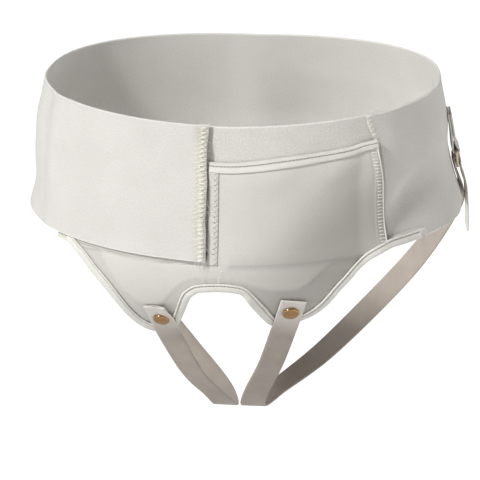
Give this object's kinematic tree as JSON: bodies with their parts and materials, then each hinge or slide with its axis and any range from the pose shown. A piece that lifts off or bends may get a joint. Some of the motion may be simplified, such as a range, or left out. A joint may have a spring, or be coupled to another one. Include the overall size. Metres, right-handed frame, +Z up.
{
  "type": "hernia belt",
  "caption": "Worn groin hernia belt: wide elastic hip band with overlapping front closure, pocketed front panel and leg straps snapped to its lobes.",
  "frame": {"origin": "the body's axis at the band's middle height, where the belt sits on the hips", "axes": "+X to the wearer's left, -Y to the wearer's front, +Z up"},
  "size_m": [0.3508, 0.2525, 0.2966],
  "materials": {
    "elastic_white": "matte woven elastic, slightly warm white",
    "loop_white": "brushed loop pile, warm white",
    "cloth_white": "soft knitted cloth, greyish white",
    "tape_white": "folded binding tape, bright warm white",
    "strap_white": "woven webbing, off-white",
    "nickel": "polished nickel plate"
  },
  "bodies": {
    "root": {"waist_band": "elastic_white", "landing_band": "loop_white", "hook_patch": "loop_white", "front_panel": "cloth_white", "inner_ply": "cloth_white", "pocket_binding": "tape_white", "leg_binding_right": "tape_white", "leg_binding_left": "tape_white", "arch_binding": "tape_white", "leg_strap_left": "strap_white", "snap_cap_left": "nickel", "snap_stud_left": "nickel", "hip_tab_left": "strap_white", "slide_left": "nickel", "leg_strap_right": "strap_white", "snap_cap_right": "nickel", "snap_stud_right": "nickel", "hip_tab_right": "strap_white", "slide_right": "nickel"}
  },
  "joints": []
}
